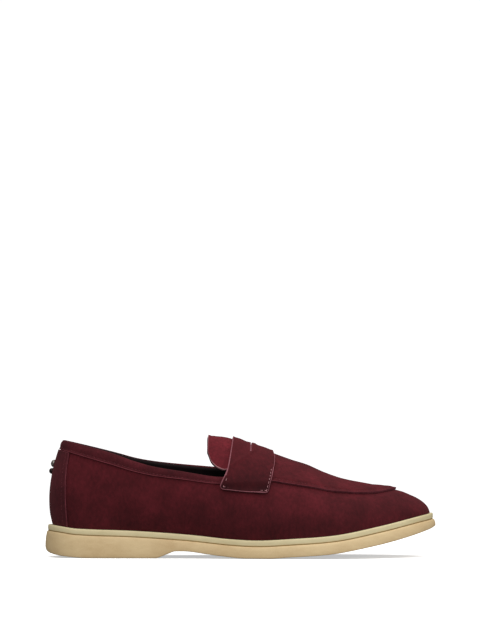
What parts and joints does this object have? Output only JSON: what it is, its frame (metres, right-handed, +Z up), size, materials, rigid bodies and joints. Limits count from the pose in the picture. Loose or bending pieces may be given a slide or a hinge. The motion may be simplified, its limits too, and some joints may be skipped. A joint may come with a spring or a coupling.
{
  "type": "penny loafer",
  "caption": "Suede slip-on penny loafer for the right foot: slotted instep strap, lapped apron, standing tongue, bound topline, welted rubber sole with low heel.",
  "frame": {"origin": "middle of the bounding box, on the ground under the sole", "axes": "+X towards the toe, +Z up, -Y towards the outer side of the right foot"},
  "size_m": [0.3, 0.1066, 0.0945],
  "materials": {
    "suede": "burgundy suede with a mottled nap",
    "suede_backstay": "burgundy suede, slightly darker",
    "lining": "near-black smooth lining leather",
    "sole_rubber": "cream rubber, matt",
    "welt_rubber": "pale cream welt strip, matt",
    "board": "pressed fibre board",
    "cork": "cork filler",
    "foam": "dark foam pad",
    "shank_steel": "spring steel strip",
    "stiffener": "stiff resin-filled fabric",
    "tape": "woven reinforcing tape",
    "stud_light": "polished pewter-coloured metal",
    "stud_dark": "dark gunmetal",
    "washer_brass": "brass rivet washer"
  },
  "bodies": {
    "shoe": {"outsole": "sole_rubber", "welt": "welt_rubber", "heel_filler": "cork", "forefoot_filler": "cork", "shank": "shank_steel", "insole_board": "board", "heel_pad": "foam", "sock_liner": "lining", "side_wall": "suede", "topline_tape": "tape", "heel_counter": "stiffener", "toe_puff": "stiffener", "vamp_lining": "lining", "quarter_lining_lateral": "lining", "quarter_lining_medial": "lining", "heel_grip": "lining", "topline_binding": "suede", "backstay": "suede_backstay", "heel_stud_upper": "stud_light", "heel_stud_lower": "stud_dark", "stud_washer_upper": "washer_brass", "stud_washer_lower": "washer_brass", "apron": "suede", "strap_backing": "lining", "penny_strap": "suede"},
    "tongue": {"tongue": "suede", "tongue_lining": "lining"}
  },
  "joints": [
    {"name": "tongue_hinge", "type": "hinge", "parent": "shoe", "child": "tongue", "pos_m": [-0.004, 0, 0.0873], "axis": [0, 1, 0], "range_deg": [0, 25], "stiffness_Nm_per_rad": 0.06}
  ]
}
